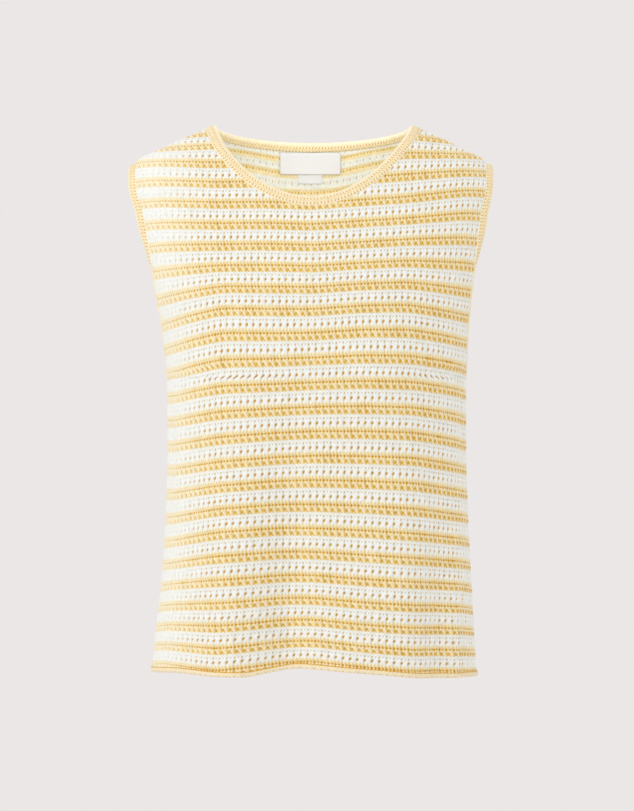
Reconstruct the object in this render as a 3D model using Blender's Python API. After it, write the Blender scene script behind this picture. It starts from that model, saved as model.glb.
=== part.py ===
"""Knit tank top, worn form with nobody in it: hollow, open at neck, armholes and hem.

Sizes are in millimetres and become metres as each point is placed. The front faces -Y, +X is the
picture's right and +Z is up. The origin lies between the shoulders, where a wearer holds it up.
"""
import math

import bmesh
import bpy
from mathutils import Vector, bvhtree, kdtree

MM = 0.001

# The form: level sections from the top of the shoulders to the hem. Columns: height, half width
# between the two sides or armhole edges, centre line, depth of the front, depth of the back.
HEIGHT, HALF_WIDTH, CENTRE, FRONT, BACK = range(5)
FORM = (
    (23.0, 86.0, -4.0, 18.0, 40.0),
    (18.0, 106.0, -4.0, 30.0, 52.0),
    (10.5, 124.0, -4.0, 41.0, 61.0),
    (0.0, 146.0, -5.0, 51.0, 69.0),
    (-17.0, 175.0, -6.0, 61.0, 78.0),
    (-40.0, 174.0, -6.0, 71.0, 87.0),
    (-70.0, 167.0, -5.0, 82.0, 94.0),
    (-105.0, 161.5, -4.0, 95.0, 99.0),
    (-150.0, 155.0, -3.0, 109.0, 101.0),
    (-190.0, 150.2, -1.5, 114.0, 100.5),
    (-230.0, 148.5, -0.5, 117.0, 98.0),
    (-300.0, 148.5, 0.0, 115.0, 92.0),
    (-360.0, 150.0, 0.0, 113.0, 89.0),
    (-430.0, 154.0, -0.5, 111.0, 88.0),
    (-480.0, 158.0, -2.0, 110.0, 90.0),
    (-530.0, 162.0, -3.0, 109.0, 94.0),
)
SQUARENESS = 2.5            # of a level section: 2 is an ellipse, more is fuller at the corners
ARC_STEPS = 120

# Armholes: ovals that reach in front of the side line and behind it.
ARM_TOP = -17.0
ARM_BOTTOM = -232.0
ARM_REACH = 44.0
STRAIGHT_ABOVE = -40.0      # from here up the knit runs straight to the shoulder seam

# Neck opening, at the seam of its band.
NECK_HALF_WIDTH = 106.0
NECK_TOP = 18.0
NECK_DROP = {"front": 80.4, "back": 16.0}
NECK_SQUARENESS = {"front": 1.6, "back": 1.5}
NECK_CROWDING = 1.35        # stations stand closer together near the shoulder seams

# Cloth and trims.
WALL = 2.4
SEAM_GAP = 0.3
TAPE_GAP = 0.5
BAND_WALL = 3.2
BAND_PROUD = 0.4
NECK_BAND_WIDTH = 9.5
NECK_BAND_RISE = {"front": 8.5, "back": 7.6}
ARM_BAND_WIDTH = 8.2
ARM_BAND_SIDEWAYS = {"top": 0.88, "bottom": -0.3}   # share of its width that points sideways
ARM_BAND_TURN = {"top": -76.0, "bottom": -148.0}    # heights between which it turns
HEM_LIP_HEIGHT = 6.0
HEM_LIP_PROUD = 0.8

# Hem height across each panel. Columns: place from the left side (-1) to the right (1), height.
HEM = {
    "front": ((-1.0, -524.0), (-0.8, -521.5), (-0.62, -519.3), (-0.42, -520.2), (-0.3, -520.3),
              (-0.2, -516.8), (-0.05, -512.8), (0.14, -515.6), (0.3, -518.5), (0.5, -523.0),
              (0.75, -525.2), (1.0, -528.5)),
    "back": ((-1.0, -524.0), (-0.7, -518.0), (-0.35, -514.0), (0.0, -516.0), (0.3, -512.5),
             (0.65, -519.0), (1.0, -528.5)),
}

# Largest folds. Columns: panel, place across from the centre line, upper end, lower end, half
# breadth, height (a trough is negative). A lower end under the hem keeps the fold full to the hem.
FOLDS = (
    ("front", -84.0, -150.0, -900.0, 30.0, 14.0),
    ("front", -26.0, -170.0, -900.0, 22.0, -13.0),
    ("front", 74.0, -110.0, -900.0, 44.0, 9.0),
    ("front", 90.0, -160.0, -900.0, 20.0, 4.5),
    ("front", 122.0, -200.0, -900.0, 20.0, -5.0),
    ("front", 34.0, -400.0, -620.0, 26.0, 3.0),
    ("front", 146.0, -390.0, -620.0, 10.0, 5.0),
    ("front", -172.0, -225.0, -370.0, 10.0, -3.0),
    ("front", -150.0, -235.0, -390.0, 12.0, 2.5),
    ("front", 176.0, -240.0, -340.0, 10.0, -2.5),
    ("front", 60.0, -150.0, -300.0, 30.0, 2.0),
    ("back", -96.0, -340.0, -640.0, 24.0, 6.0),
    ("back", -30.0, -370.0, -640.0, 22.0, -4.5),
    ("back", 62.0, -330.0, -640.0, 26.0, 6.5),
    ("back", 118.0, -400.0, -620.0, 18.0, -4.0),
    ("back", 168.0, -230.0, -360.0, 11.0, -3.0),
    ("back", -168.0, -235.0, -350.0, 11.0, -2.5),
    ("back", 0.0, -70.0, -230.0, 32.0, -2.5),
)

# Label and size tab, inside the back neck.
LABEL = {"left": -37.8, "right": 24.2, "top": 0.4, "bottom": -19.8, "wall": 1.0}
SIZE_TAB = {"left": -19.7, "right": 5.6, "top": -5.0, "bottom": -29.8, "wall": 1.0}

# Steps of each panel's grid: half of its width, the whole height, the height of the armhole and
# half of the neck.
COLUMNS = 14
ROWS = 28
ARM_ROWS = 17
NECK_ROWS = 11
ARM_START = ROWS - ARM_ROWS
NECK_START = ROWS - NECK_ROWS

STRIPED_KNIT = ((0.83, 0.74, 0.55), 0.9)
PLAIN_KNIT = ((0.87, 0.74, 0.47), 0.88)
WOVEN_TAPE = ((0.87, 0.87, 0.84), 0.7)


# ---------------------------------------------------------------- the form

def along(rows, place, column):
    """A column of a table at a place between its rows, smooth and with no overshoot."""
    if rows[0][0] > rows[-1][0]:
        rows = rows[::-1]
    place = min(max(place, rows[0][0]), rows[-1][0])
    last = len(rows) - 2
    index = next(i for i in range(last + 1) if place <= rows[i + 1][0])

    def steepness(i):
        return (rows[i + 1][column] - rows[i][column]) / (rows[i + 1][0] - rows[i][0])

    def slope(i):
        if i == 0:
            return steepness(0)
        if i == last + 1:
            return steepness(last)
        before, after = steepness(i - 1), steepness(i)
        return 2 * before * after / (before + after) if before * after > 0 else 0.0

    low, high = rows[index], rows[index + 1]
    step = high[0] - low[0]
    t = (place - low[0]) / step
    rise = t * t * (3 - 2 * t)
    return (low[column] + (high[column] - low[column]) * rise
            + slope(index) * step * t * (1 - t) ** 2
            - slope(index + 1) * step * t * t * (1 - t))


def form(height, column):
    return along(FORM, height, column)


def depth(panel, height):
    return form(height, FRONT if panel == "front" else BACK)


def arm_gap(height):
    """How far the armhole's edge lies in front of or behind the side line."""
    middle = (ARM_TOP + ARM_BOTTOM) / 2
    share = (height - middle) / (ARM_TOP - middle)
    return ARM_REACH * math.sqrt(max(0.0, 1 - share * share))


def full_half_width(panel, height):
    """Half width of the whole section, as if the armhole were not cut out of it."""
    share = arm_gap(height) / depth(panel, height)
    return form(height, HALF_WIDTH) / (1 - share ** SQUARENESS) ** (1 / SQUARENESS)


def section_depth(panel, height, across):
    share = min(1.0, abs(across) / full_half_width(panel, height))
    return depth(panel, height) * (1 - share ** SQUARENESS) ** (1 / SQUARENESS)


ARCS = {}


def arc(panel, height):
    """Places across and lengths of cloth from the centre line to the edge, at one height."""
    key = (panel, round(height, 4))
    if key not in ARCS:
        edge = form(height, HALF_WIDTH)
        places = [edge * math.sin(math.pi / 2 * i / ARC_STEPS) for i in range(ARC_STEPS + 1)]
        lengths = [0.0]
        for before, after in zip(places, places[1:]):
            fall = section_depth(panel, height, after) - section_depth(panel, height, before)
            lengths.append(lengths[-1] + math.hypot(after - before, fall))
        ARCS[key] = (places, lengths)
    return ARCS[key]


def read_off(value, known, wanted):
    """Straight-line reading of one rising list against another."""
    for i in range(1, len(known)):
        if value <= known[i] or i == len(known) - 1:
            t = (value - known[i - 1]) / (known[i] - known[i - 1])
            return wanted[i - 1] + t * (wanted[i] - wanted[i - 1])
    return wanted[-1]


def upper_scale(height, places):
    return form(min(height, ARM_TOP), HALF_WIDTH) / places[-1]


def across_at(panel, share, height):
    """Distance from the centre line of the point at a share of the panel's half width."""
    places, lengths = arc(panel, min(height, STRAIGHT_ABOVE))
    place = read_off(abs(share) * lengths[-1], lengths, places) * upper_scale(height, places)
    return math.copysign(place, share)


def share_at(panel, across, height):
    places, lengths = arc(panel, min(height, STRAIGHT_ABOVE))
    length = read_off(abs(across) / upper_scale(height, places), places, lengths)
    return math.copysign(length / lengths[-1], across)


def fold_height(panel, cloth_across, height):
    total = 0.0
    for side, middle, top, bottom, half_breadth, rise in FOLDS:
        if side != panel or not bottom < height < top:
            continue
        run = math.sin(math.pi * (top - height) / (top - bottom)) ** 2
        total += rise * run * math.exp(-((cloth_across - middle) / half_breadth) ** 2)
    return total


def cloth_point(panel, share, height):
    """Outer face of a panel, in millimetres."""
    across = across_at(panel, share, height)
    deep = section_depth(panel, height, across)
    half = full_half_width(panel, height)
    slope_x = (abs(across) / half) ** (SQUARENESS - 1) / half
    slope_y = (deep / depth(panel, height)) ** (SQUARENESS - 1) / depth(panel, height)
    steepness = math.hypot(slope_x, slope_y)
    length = arc(panel, min(height, STRAIGHT_ABOVE))[1][-1]
    fold = fold_height(panel, share * length, height)
    across += math.copysign(fold * slope_x / steepness, across)
    deep = max(deep + fold * slope_y / steepness, SEAM_GAP / 2)
    facing = -1 if panel == "front" else 1
    return Vector((form(height, CENTRE) + across, facing * deep, height))


# ---------------------------------------------------------------- outlines of the panels

def ridge_height(across):
    """Height of the shoulder seam at a distance from the centre line."""
    low, high = ARM_TOP, FORM[0][HEIGHT]
    for _ in range(40):
        middle = (low + high) / 2
        low, high = (middle, high) if form(middle, HALF_WIDTH) > across else (low, middle)
    return (low + high) / 2


def neck_turn(station):
    """Turn from the middle of the neck (0) towards the shoulder seam (a right angle)."""
    return math.pi / 2 * (1 - (1 - station / NECK_ROWS) ** NECK_CROWDING)


def neck_seam(panel, station):
    """Place across and height of the neck's seam."""
    turn = neck_turn(station)
    fall = math.cos(turn) ** NECK_SQUARENESS[panel]
    return NECK_HALF_WIDTH * math.sin(turn), NECK_TOP - NECK_DROP[panel] * fall


def neck_fold(panel, station):
    """Place across and height of the neck band's free edge."""
    turn = neck_turn(station)
    half = NECK_HALF_WIDTH - NECK_BAND_WIDTH
    top = ridge_height(half)
    bottom = NECK_TOP - NECK_DROP[panel] + NECK_BAND_RISE[panel]
    fall = math.cos(turn) ** NECK_SQUARENESS[panel]
    return half * math.sin(turn), top - (top - bottom) * fall


def hem_height(panel, share):
    return along(HEM[panel], share, 1)


def side_height(panel, row, hand):
    """Height of a grid row where it meets the side seam or the armhole."""
    if row >= ARM_START:
        middle = (ARM_TOP + ARM_BOTTOM) / 2
        return middle - (ARM_TOP - middle) * math.cos(math.pi * (row - ARM_START) / ARM_ROWS)
    return lower_height(hem_height(panel, hand), ARM_BOTTOM, row, ARM_START)


def lower_height(hem, top, row, rows):
    """Rows up from the hem: its lip first, then even steps."""
    if row == 0:
        return hem
    lip = hem + HEM_LIP_HEIGHT
    return lip + (top - lip) * (row - 1) / (rows - 1)


def middle_place(panel, row):
    """Share and height of a grid row where it meets the centre line or the neck."""
    if row <= NECK_START:
        bottom = NECK_TOP - NECK_DROP[panel]
        return 0.0, lower_height(hem_height(panel, 0.0), bottom, row, NECK_START)
    across, height = neck_seam(panel, row - NECK_START)
    return share_at(panel, across, height), height


def grid_place(panel, hand, column, row):
    """Point of one half of a panel: column 0 lies on the side, the last on the centre line."""
    t = column / COLUMNS
    side = side_height(panel, row, hand)
    share, middle = middle_place(panel, row)
    share = hand * (1 + (share - 1) * t)
    height = side + (middle - side) * t
    if row == ROWS:
        height = ridge_height(abs(across_at(panel, share, 0.0)))
    elif row > NECK_START:
        seam_share = 1 + (share_at(panel, NECK_HALF_WIDTH, NECK_TOP) - 1) * t
        ridge = ridge_height(across_at(panel, seam_share, 0.0))
        straight = ARM_TOP + (NECK_TOP - ARM_TOP) * t
        height += (ridge - straight) * ((row - NECK_START) / NECK_ROWS) ** 2
    elif row < ARM_START:
        straight = (1 - t) * hem_height(panel, hand) + t * hem_height(panel, 0.0)
        height += (hem_height(panel, share) - straight) * (1 - row / ARM_START) ** 2
    return cloth_point(panel, share, height)


# ---------------------------------------------------------------- making the pieces

def garment_collection():
    collection = bpy.data.collections.new("knit_tank_top")
    bpy.context.scene.collection.children.link(collection)
    return collection


def knit_material(name, finish):
    colour, roughness = finish
    material = bpy.data.materials.new(name)
    material.use_nodes = True
    shader = material.node_tree.nodes["Principled BSDF"]
    shader.inputs["Base Color"].default_value = (*colour, 1.0)
    shader.inputs["Roughness"].default_value = roughness
    shader.inputs["Metallic"].default_value = 0.0
    return material


def add_piece(collection, name, bm, material):
    """Turn a closed mesh in millimetres into an object in metres."""
    bmesh.ops.scale(bm, vec=(MM, MM, MM), verts=bm.verts)
    bmesh.ops.recalc_face_normals(bm, faces=bm.faces)
    mesh = bpy.data.meshes.new(name)
    bm.to_mesh(mesh)
    bm.free()
    mesh.materials.append(material)
    mesh.shade_smooth()
    piece = bpy.data.objects.new(name, mesh)
    collection.objects.link(piece)
    return piece


def placed_grid(columns, rows, place):
    """Grid whose points are placed by their column and row."""
    bm = bmesh.new()
    bmesh.ops.create_grid(bm, x_segments=columns, y_segments=rows, size=0.5)
    for vert in bm.verts:
        column = round((vert.co.x + 0.5) * columns)
        row = round((vert.co.y + 0.5) * rows)
        vert.co = place(column, row)
    return bm


def append_mesh(bm, other):
    """Add another mesh's faces to this one."""
    copies = {vert: bm.verts.new(vert.co) for vert in other.verts}
    for face in other.faces:
        bm.faces.new([copies[vert] for vert in face.verts])
    other.free()


def panel_sheet(panel):
    """Outer face of a panel: two halves joined on the centre line, below the neck."""
    left, right = (
        placed_grid(COLUMNS, ROWS, lambda column, row: grid_place(panel, hand, column, row))
        for hand in (-1, 1)
    )
    bm = left
    append_mesh(bm, right)
    bmesh.ops.remove_doubles(bm, verts=bm.verts, dist=0.01)
    bmesh.ops.recalc_face_normals(bm, faces=bm.faces)
    bm.normal_update()
    facing = -1 if panel == "front" else 1
    if sum(face.normal.y * face.calc_area() for face in bm.faces) * facing < 0:
        bmesh.ops.reverse_faces(bm, faces=bm.faces)
        bm.normal_update()
    return bm


def seam_normal(vert):
    """Normal of a sheet's point, kept in the seam's plane along the side and shoulder seams."""
    normal = vert.normal.copy()
    if abs(vert.co.y) < SEAM_GAP:
        normal.y = 0.0
    return normal.normalized()


def panel_wall(sheet, panel):
    """Thicken a panel's outer face inwards, with the hem's lip standing proud."""
    bm = sheet.copy()
    bm.normal_update()
    lip_top = HEM_LIP_HEIGHT + SEAM_GAP
    outer = list(bm.verts)
    normals = [seam_normal(vert) for vert in outer]
    inner_positions = [vert.co - normal * WALL for vert, normal in zip(outer, normals)]
    for vert, normal in zip(outer, normals):
        share = share_at(panel, vert.co.x - form(vert.co.z, CENTRE), vert.co.z)
        if vert.co.z < hem_height(panel, share) + lip_top:
            vert.co += normal * HEM_LIP_PROUD
    extruded = bmesh.ops.extrude_face_region(bm, geom=list(bm.faces), use_keep_orig=True)
    copies = [item for item in extruded["geom"] if isinstance(item, bmesh.types.BMVert)]
    finder = kdtree.KDTree(len(outer))
    for index, vert in enumerate(outer):
        finder.insert(vert.co, index)
    finder.balance()
    for copy in copies:
        copy.co = inner_positions[finder.find(copy.co)[1]]
    return bm


def normal_finder(sheets):
    """Look up the panels' outer normals at their edges."""
    verts = [vert for sheet in sheets for vert in sheet.verts]
    finder = kdtree.KDTree(len(verts))
    for index, vert in enumerate(verts):
        finder.insert(vert.co, index)
    finder.balance()

    def normal_at(point):
        near = finder.find_range(point, 2 * SEAM_GAP) or [finder.find(point)]
        total = Vector((0.0, 0.0, 0.0))
        for _, index, _ in near:
            total += seam_normal(verts[index])
        return total.normalized()

    return normal_at


# Section of a band. Columns: share of its width from the seam, share of its wall from the outside.
BAND_SECTION = ((0.0, 0.0), (0.5, -0.12), (0.88, 0.06), (1.0, 0.5), (0.88, 0.94), (0.5, 1.05), (0.0, 1.0))


def band_ring(seam_points, free_points, normal_at):
    """Closed band between its seam and its free edge, made of equal sections."""
    count = len(seam_points)
    sections = []
    for index in range(count):
        seam, free = seam_points[index], free_points[index]
        tangent = seam_points[(index + 1) % count] - seam_points[index - 1]
        panel_normal = normal_at(seam)
        span = free - seam
        band_normal = tangent.cross(span).normalized()
        if band_normal.dot(panel_normal) < 0:
            band_normal.negate()
        outward = (span - panel_normal * span.dot(panel_normal)).normalized()
        section = []
        for width_share, wall_share in BAND_SECTION:
            lean = min(1.0, 2 * width_share)
            normal = (panel_normal * (1 - lean) + band_normal * lean).normalized()
            base = seam + span * width_share
            if width_share == 0.0:
                base = seam + outward * SEAM_GAP
            section.append(base + normal * (BAND_PROUD - BAND_WALL * wall_share))
        sections.append(section)
    around = len(BAND_SECTION)
    bm = placed_grid(around, count, lambda column, row: sections[row % count][column % around])
    bmesh.ops.remove_doubles(bm, verts=bm.verts, dist=0.001)
    return bm


def neck_stations():
    """Panel, side and station all the way round the neck, left shoulder to front to right."""
    stations = [("front", -1, k) for k in range(NECK_ROWS, 0, -1)]
    stations += [("front", 1, k) for k in range(NECK_ROWS)]
    stations += [("back", 1, k) for k in range(NECK_ROWS, 0, -1)]
    stations += [("back", -1, k) for k in range(NECK_ROWS)]
    return stations


def neck_band(normal_at):
    seams, frees = [], []
    for panel, hand, station in neck_stations():
        for outline, points in ((neck_seam, seams), (neck_fold, frees)):
            across, height = outline(panel, station)
            share = hand * share_at(panel, across, height)
            point = cloth_point(panel, share, height)
            if station == NECK_ROWS:
                point.y = 0.0
            points.append(point)
    return band_ring(seams, frees, normal_at)


def arm_band_lean(height):
    """How much of the armhole band's width points sideways: most at the shoulder."""
    top, bottom = ARM_BAND_TURN["top"], ARM_BAND_TURN["bottom"]
    t = min(1.0, max(0.0, (height - bottom) / (top - bottom)))
    low, high = ARM_BAND_SIDEWAYS["bottom"], ARM_BAND_SIDEWAYS["top"]
    return low + (high - low) * t * t * (3 - 2 * t)


def armhole_band(hand, normal_at):
    stations = [("front", row) for row in range(ARM_START, ROWS + 1)]
    stations += [("back", row) for row in range(ROWS - 1, ARM_START, -1)]
    middle = (ARM_TOP + ARM_BOTTOM) / 2
    half = ARM_TOP - middle
    seams, frees = [], []
    for panel, row in stations:
        seam = grid_place(panel, hand, 0, row)
        if row in (ARM_START, ROWS):
            seam.y = 0.0
        inward = Vector((0.0, -seam.y / ARM_REACH ** 2, -(seam.z - middle) / half ** 2)).normalized()
        lean = arm_band_lean(seam.z)
        sideways = Vector((hand * lean, 0.0, 0.0))
        direction = sideways + inward * math.sqrt(1 - lean * lean)
        seams.append(seam)
        frees.append(seam + direction * ARM_BAND_WIDTH)
    return band_ring(seams, frees, normal_at)


def tape(size, depth_inside, back_sheet, columns, rows):
    """Flat woven tape lying inside the back panel, laid along the panel's own faces."""
    faces = bvhtree.BVHTree.FromBMesh(back_sheet)

    def place(column, row):
        across = size["left"] + (size["right"] - size["left"]) * column / columns
        height = size["bottom"] + (size["top"] - size["bottom"]) * row / rows
        return faces.ray_cast(Vector((across, 0.0, height)), Vector((0.0, 1.0, 0.0)))[0]

    bm = placed_grid(columns, rows, place)
    bmesh.ops.recalc_face_normals(bm, faces=bm.faces)
    bm.normal_update()
    inwards = -1 if sum(face.normal.y for face in bm.faces) > 0 else 1
    moves = [vert.normal * inwards for vert in bm.verts]
    for vert, move in zip(bm.verts, moves):
        vert.co += move * depth_inside
    by_place = {tuple(vert.co): move for vert, move in zip(bm.verts, moves)}
    extruded = bmesh.ops.extrude_face_region(bm, geom=list(bm.faces), use_keep_orig=True)
    for item in extruded["geom"]:
        if isinstance(item, bmesh.types.BMVert):
            item.co += by_place[tuple(item.co)] * size["wall"]
    return bm


def remove_everything():
    for piece in list(bpy.data.objects):
        bpy.data.objects.remove(piece, do_unlink=True)


def main():
    remove_everything()
    collection = garment_collection()
    striped = {panel: knit_material(f"striped_knit_{panel}", STRIPED_KNIT) for panel in NECK_DROP}
    sheets = {panel: panel_sheet(panel) for panel in NECK_DROP}
    normal_at = normal_finder(list(sheets.values()))
    for panel, sheet in sheets.items():
        add_piece(collection, f"{panel}_panel", panel_wall(sheet, panel), striped[panel])
    add_piece(collection, "neck_band", neck_band(normal_at), knit_material("neck_knit", PLAIN_KNIT))
    for name, hand in (("left", -1), ("right", 1)):
        finish = knit_material(f"armhole_knit_{name}", PLAIN_KNIT)
        add_piece(collection, f"armhole_band_{name}", armhole_band(hand, normal_at), finish)
    tab_depth = WALL + TAPE_GAP
    label_depth = tab_depth + SIZE_TAB["wall"] + TAPE_GAP
    size_tab = tape(SIZE_TAB, tab_depth, sheets["back"], 6, 6)
    add_piece(collection, "size_tab", size_tab, knit_material("tab_tape", WOVEN_TAPE))
    neck_label = tape(LABEL, label_depth, sheets["back"], 12, 5)
    add_piece(collection, "neck_label", neck_label, knit_material("label_tape", WOVEN_TAPE))
    for sheet in sheets.values():
        sheet.free()


main()
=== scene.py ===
"""Striped knit tank top: the looks. Sizes are in millimetres until a point is placed, in metres.

The front faces -Y, +X is the picture's right, +Z is up, and the origin lies between the shoulders.
"""
import math

import bmesh
import bpy
import numpy as np
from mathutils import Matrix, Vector


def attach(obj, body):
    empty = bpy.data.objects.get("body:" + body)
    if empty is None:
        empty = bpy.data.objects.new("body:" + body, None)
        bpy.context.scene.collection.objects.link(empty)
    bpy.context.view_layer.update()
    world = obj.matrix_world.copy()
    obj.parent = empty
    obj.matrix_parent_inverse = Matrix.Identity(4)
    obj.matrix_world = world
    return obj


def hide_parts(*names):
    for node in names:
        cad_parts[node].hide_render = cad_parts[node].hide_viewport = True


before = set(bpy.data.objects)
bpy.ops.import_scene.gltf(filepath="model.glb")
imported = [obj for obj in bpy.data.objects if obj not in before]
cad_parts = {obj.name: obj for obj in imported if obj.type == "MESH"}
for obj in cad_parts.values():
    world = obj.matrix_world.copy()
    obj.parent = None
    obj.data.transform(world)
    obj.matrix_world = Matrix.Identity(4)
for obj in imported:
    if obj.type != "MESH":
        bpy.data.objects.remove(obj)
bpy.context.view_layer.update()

MM = 0.001
TINY = 1e-6

# ---------------------------------------------------------------- the worn form

# Level sections. Columns: height, half width, centre line, depth of the front, depth of the back.
HALF_WIDTH, CENTRE, FRONT, BACK = 1, 2, 3, 4
FORM = (
    (23.0, 86.0, -4.0, 18.0, 40.0),
    (18.0, 106.0, -4.0, 30.0, 52.0),
    (10.5, 124.0, -4.0, 41.0, 61.0),
    (0.0, 146.0, -5.0, 51.0, 69.0),
    (-17.0, 175.0, -6.0, 61.0, 78.0),
    (-40.0, 174.0, -6.0, 71.0, 87.0),
    (-70.0, 167.0, -5.0, 82.0, 94.0),
    (-105.0, 161.5, -4.0, 95.0, 99.0),
    (-150.0, 155.0, -3.0, 109.0, 101.0),
    (-190.0, 150.2, -1.5, 114.0, 100.5),
    (-230.0, 148.5, -0.5, 117.0, 98.0),
    (-300.0, 148.5, 0.0, 115.0, 92.0),
    (-360.0, 150.0, 0.0, 113.0, 89.0),
    (-430.0, 154.0, -0.5, 111.0, 88.0),
    (-480.0, 158.0, -2.0, 110.0, 90.0),
    (-530.0, 162.0, -3.0, 109.0, 94.0),
)
SQUARENESS = 2.5            # of the level sections: 2 is an ellipse, and more is squarer
ARM_TOP, ARM_BOTTOM, ARM_REACH = -17.0, -232.0, 44.0    # reach: half an armhole's width, front to back
STRAIGHT_ABOVE = -40.0      # over the shoulders the wales are spread as they are at this height
NECK_HALF_WIDTH, NECK_TOP = 106.0, 18.0
NECK_DROP = {"front": 80.4, "back": 16.0}
NECK_SQUARENESS = {"front": 1.6, "back": 1.5}           # 1 is an ellipse and 2 a parabola
NECK_BAND_WIDTH = 9.5
NECK_BAND_RISE = {"front": 8.5, "back": 7.6}            # of its free edge over its seam, on the centre line
ARM_BAND_WIDTH = 8.2
# How far an armhole band leans sideways, out at the shoulder and in at the foot, and the heights
# between which it turns from one to the other.
ARM_BAND_SIDEWAYS = {"top": 0.88, "bottom": -0.3}
ARM_BAND_TURN = {"top": -76.0, "bottom": -148.0}
WALL = 2.4

# Hem height across each panel. Columns: place from the left side (-1) to the right (1), height.
HEM = {
    "front": ((-1.0, -524.0), (-0.8, -521.5), (-0.62, -519.3), (-0.42, -520.2), (-0.3, -520.3),
              (-0.2, -516.8), (-0.05, -512.8), (0.14, -515.6), (0.3, -518.5), (0.5, -523.0),
              (0.75, -525.2), (1.0, -528.5)),
    "back": ((-1.0, -524.0), (-0.7, -518.0), (-0.35, -514.0), (0.0, -516.0), (0.3, -512.5),
             (0.65, -519.0), (1.0, -528.5)),
}

# Folds. Columns: panel, place across, upper end, lower end, half breadth, height.
FOLDS = (
    ("front", -84.0, -150.0, -900.0, 30.0, 14.0),
    ("front", -26.0, -170.0, -900.0, 22.0, -13.0),
    ("front", 74.0, -110.0, -900.0, 44.0, 9.0),
    ("front", 90.0, -160.0, -900.0, 20.0, 4.5),
    ("front", 122.0, -200.0, -900.0, 20.0, -5.0),
    ("front", 34.0, -400.0, -620.0, 26.0, 3.0),
    ("front", 146.0, -390.0, -620.0, 10.0, 5.0),
    ("front", -172.0, -225.0, -370.0, 10.0, -3.0),
    ("front", -150.0, -235.0, -390.0, 12.0, 2.5),
    ("front", 176.0, -240.0, -340.0, 10.0, -2.5),
    ("front", 60.0, -150.0, -300.0, 30.0, 2.0),
    ("back", -96.0, -340.0, -640.0, 24.0, 6.0),
    ("back", -30.0, -370.0, -640.0, 22.0, -4.5),
    ("back", 62.0, -330.0, -640.0, 26.0, 6.5),
    ("back", 118.0, -400.0, -620.0, 18.0, -4.0),
    ("back", 168.0, -230.0, -360.0, 11.0, -3.0),
    ("back", -168.0, -235.0, -350.0, 11.0, -2.5),
    ("back", 0.0, -70.0, -230.0, 32.0, -2.5),
)

# ---------------------------------------------------------------- the knit

WALE = 6.626                            # one motif across: an eyelet and the fan of yarn beside it
WALES = {"front": 32.75, "back": 30.75}      # motifs from the centre line to the side seam
# Height of each yellow stripe's middle on the centre line, then how much higher it runs at places
# across. Columns: stripe, centre, left seam, left side, left, left of centre, right of centre, right,
# right side, right seam.
COURSE_PLACES = (-215.0, -155.0, -91.0, -40.0, 0.0, 45.0, 92.0, 155.0, 215.0)
COURSES = (
    (-1.0, -526.0, -10.0, -5.0, -10.5, -3.8, -4.9, -9.5, -12.5, -18.0),
    (0.0, -506.5, -11.5, -6.0, -9.0, -3.2, -4.9, -9.5, -13.0, -18.0),
    (3.0, -445.5, -15.8, -9.3, -5.0, -0.9, -3.9, -7.1, -11.3, -18.5),
    (6.0, -378.3, -18.4, -13.5, -3.7, -0.1, -1.9, -5.2, -11.7, -17.7),
    (9.0, -308.2, -14.8, -13.8, -5.8, -1.7, -0.6, -2.3, -10.5, -15.8),
    (12.0, -237.7, -14.0, -12.6, -3.3, -1.8, 1.2, 0.3, -6.3, -11.8),
    (15.0, -167.0, -17.5, -11.0, 1.0, 0.1, 3.4, 4.3, -3.3, -6.8),
    (18.0, -104.2, -0.8, 1.3, 1.2, 1.2, 3.0, 6.1, 9.0, 7.2),
    (20.0, -62.8, 2.0, 3.9, 1.5, 1.5, 3.5, 6.8, 14.8, 15.3),
    (22.0, -20.0, 1.0, 1.5, -1.0, -0.2, 4.4, 9.0, 9.5, 10.0),
    (23.0, -1.0, -3.0, -3.0, -1.0, -0.4, 4.6, 9.5, 4.0, 3.0),
    (24.0, 13.0, -4.0, -4.0, -2.0, -0.9, 2.0, 4.0, 1.0, 0.0),
    (26.0, 30.0, 0.0, 0.0, 0.0, 0.0, 0.0, 0.0, 0.0, 0.0),
)
COURSE_EASE = 18.0                      # the stripes bend smoothly over this distance
# The back's stripes meet the front's at the side seams. Columns: stripe, rise over the back, sag at
# the neck.
BACK_RISE = ((-1.0, 7.0, 0.0), (6.0, 9.0, 0.0), (12.0, 7.0, 0.0), (16.0, 3.0, -2.0), (19.0, 0.0, -6.0),
             (21.5, 0.0, -10.0), (22.5, 0.0, -9.0), (26.0, 0.0, -8.0))
BACK_SIDE = 203.0                       # where the back's side seams lie
# Columns: place across the back, share of the rise, share of the sag.
BACK_SWELL = ((-BACK_SIDE, 0.0, 0.0), (-150.0, 0.45, -0.55), (-90.0, 0.85, -0.67), (-60.0, 0.95, -0.15),
              (-30.0, 1.0, 0.5), (0.0, 1.0, 0.7), (30.0, 1.0, 0.5), (60.0, 0.95, -0.15),
              (90.0, 0.85, -0.67), (150.0, 0.45, -0.55), (BACK_SIDE, 0.0, 0.0))

# Stitch charts of one motif, eyelet in the first column, top row first. 0 is a gap, 9 the top of
# the yarn.
WHITE_CHART = (
    "79867986",
    "98679867",
    "47975797",
    "37985896",
    "68998899",
    "54899997",
    "03899995",
    "05899992",
    "48889986",
    "67877776",
)
YELLOW_CHART = (
    "57965796",
    "69857985",
    "47854684",
    "04741473",
    "15873784",
    "57985786",
    "24898775",
    "31497886",
    "62266777",
    "65453566",
)
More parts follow.
